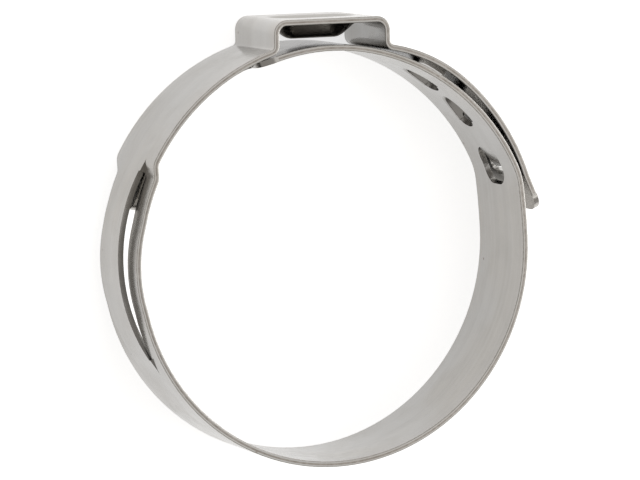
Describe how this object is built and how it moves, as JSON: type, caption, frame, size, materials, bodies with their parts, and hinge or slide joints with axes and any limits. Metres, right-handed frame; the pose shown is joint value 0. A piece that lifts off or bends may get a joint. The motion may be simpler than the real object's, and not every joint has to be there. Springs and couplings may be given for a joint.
{
  "type": "ear hose clamp",
  "caption": "Stepless one-ear hose clamp of one folded stainless strip: a dimpled ear, drawn hooks caught in windows of the outer lap, and a tongue that runs under the ear into a slit channel.",
  "frame": {"origin": "centre of the bore, half way across the strip's width", "axes": "+Z along the bore axis, +Y towards the ear, +X towards the outer lap and its tail"},
  "size_m": [0.0388, 0.0387, 0.009],
  "materials": {
    "strip": "satin rolled stainless with sheared edges"
  },
  "bodies": {
    "root": {"clamp_band": "strip"}
  },
  "joints": []
}
